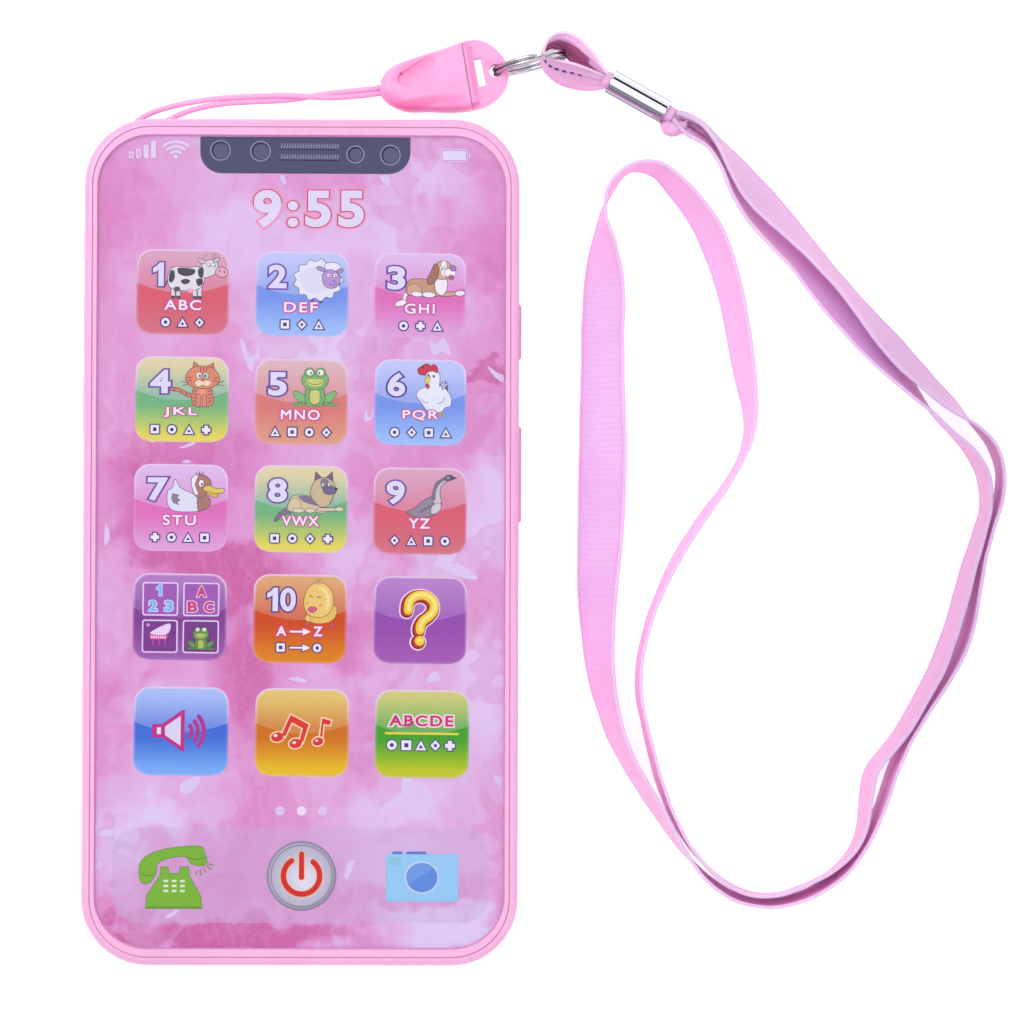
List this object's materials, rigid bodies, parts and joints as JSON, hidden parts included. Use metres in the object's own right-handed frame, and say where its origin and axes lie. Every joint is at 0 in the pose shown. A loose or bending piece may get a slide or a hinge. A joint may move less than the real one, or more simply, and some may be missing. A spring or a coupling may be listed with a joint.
{
  "type": "toy cell phone",
  "caption": "Flat toy phone with a printed icon screen, side keys, a screwed battery door and a ribbon neck lanyard on a quick-release clip.",
  "frame": {"origin": "centre of the phone's back face", "axes": "+Z out of the screen, +Y towards the notch end of the screen, +X to the right as the screen is seen"},
  "size_m": [0.1591, 0.1611, 0.0155],
  "materials": {
    "shell_pink": "glossy moulded plastic",
    "key_pink": "glossy moulded plastic",
    "clear_film": "clear glossy plastic film",
    "printed_sheet": "printed plastic sheet",
    "board_green": "lacquered circuit board",
    "copper": "tinned copper pads",
    "black_resin": "cured resin",
    "chip_brown": "ceramic chip parts",
    "capacitor_sleeve": "shrink sleeve",
    "speaker_steel": "stamped steel",
    "ferrite": "ferrite and steel",
    "cone_film": "thin plastic film",
    "foam_black": "foam ring",
    "wire_red": "insulated wire",
    "wire_black": "insulated wire",
    "cell_sleeve": "printed sleeve",
    "plated_steel": "nickel plated",
    "switch_black": "moulded plastic",
    "screw_steel": "zinc plated",
    "cord_pink": "soft cord",
    "clip_pink": "soft plastic",
    "ring_steel": "polished plated steel",
    "ferrule_chrome": "polished plated tube",
    "ribbon_pink": "ribbed woven ribbon"
  },
  "bodies": {
    "phone": {"rear_shell": "shell_pink", "front_frame": "shell_pink", "screen_film": "clear_film", "graphic_sheet": "printed_sheet", "touch_board": "board_green", "touch_pads": "copper", "chip_blob": "black_resin", "smd_parts": "chip_brown", "electrolytic_capacitor": "capacitor_sleeve", "speaker_frame": "speaker_steel", "speaker_magnet": "ferrite", "speaker_gasket": "foam_black", "speaker_lead_red": "wire_red", "speaker_lead_black": "wire_black", "battery_lead_red": "wire_red", "battery_lead_black": "wire_black", "battery_cells": "cell_sleeve", "battery_springs": "plated_steel", "contact_plates": "plated_steel", "side_boards": "board_green", "side_switches": "switch_black", "case_screws": "screw_steel"},
    "mute_button": {"mute_key": "key_pink"},
    "volume_up_button": {"volume_up_key": "key_pink"},
    "volume_down_button": {"volume_down_key": "key_pink"},
    "side_button": {"side_key": "key_pink"},
    "door": {"battery_door": "shell_pink"},
    "door_fastener": {"door_screw": "screw_steel"},
    "cone": {"speaker_cone": "cone_film"},
    "strap": {"strap_cord": "cord_pink", "clip_socket": "clip_pink"},
    "plug": {"clip_plug": "clip_pink"},
    "ring": {"split_ring": "ring_steel"},
    "ribbon": {"ferrule": "ferrule_chrome", "neck_ribbon": "ribbon_pink"}
  },
  "joints": [
    {"name": "mute_press", "type": "slide", "parent": "phone", "child": "mute_button", "axis": [1, 0, 0], "range_m": [0, 0.0005]},
    {"name": "volume_up_press", "type": "slide", "parent": "phone", "child": "volume_up_button", "axis": [1, 0, 0], "range_m": [0, 0.0005]},
    {"name": "volume_down_press", "type": "slide", "parent": "phone", "child": "volume_down_button", "axis": [1, 0, 0], "range_m": [0, 0.0005]},
    {"name": "side_press", "type": "slide", "parent": "phone", "child": "side_button", "axis": [-1, 0, 0], "range_m": [0, 0.0005]},
    {"name": "door_tilt", "type": "hinge", "parent": "phone", "child": "door", "pos_m": [0, -0.06105, 0], "axis": [-1, 0, 0], "range_deg": [0, 75]},
    {"name": "door_screw_turn", "type": "hinge", "parent": "door", "child": "door_fastener", "pos_m": [0, -0.0042, 0], "axis": [0, 0, 1], "continuous": true},
    {"name": "cone_stroke", "type": "slide", "parent": "phone", "child": "cone", "axis": [0, 0, 1], "range_m": [-0.0002, 0.0002]},
    {"name": "strap_swing", "type": "hinge", "parent": "phone", "child": "strap", "pos_m": [-0.028, 0.0712, 0.0068], "axis": [0, 0, 1], "range_deg": [0, 60]},
    {"name": "clip_release", "type": "slide", "parent": "strap", "child": "plug", "axis": [0.9857, 0.1685, 0], "range_m": [0, 0.012]},
    {"name": "ring_swing", "type": "hinge", "parent": "plug", "child": "ring", "pos_m": [0.0332, 0.0818, 0.0068], "axis": [0, 0, 1], "range_deg": [-3, 35]},
    {"name": "ribbon_swing", "type": "hinge", "parent": "ring", "child": "ribbon", "pos_m": [0.04511, 0.08488, 0.0068], "axis": [0, 0, 1], "range_deg": [-3, 60]}
  ]
}
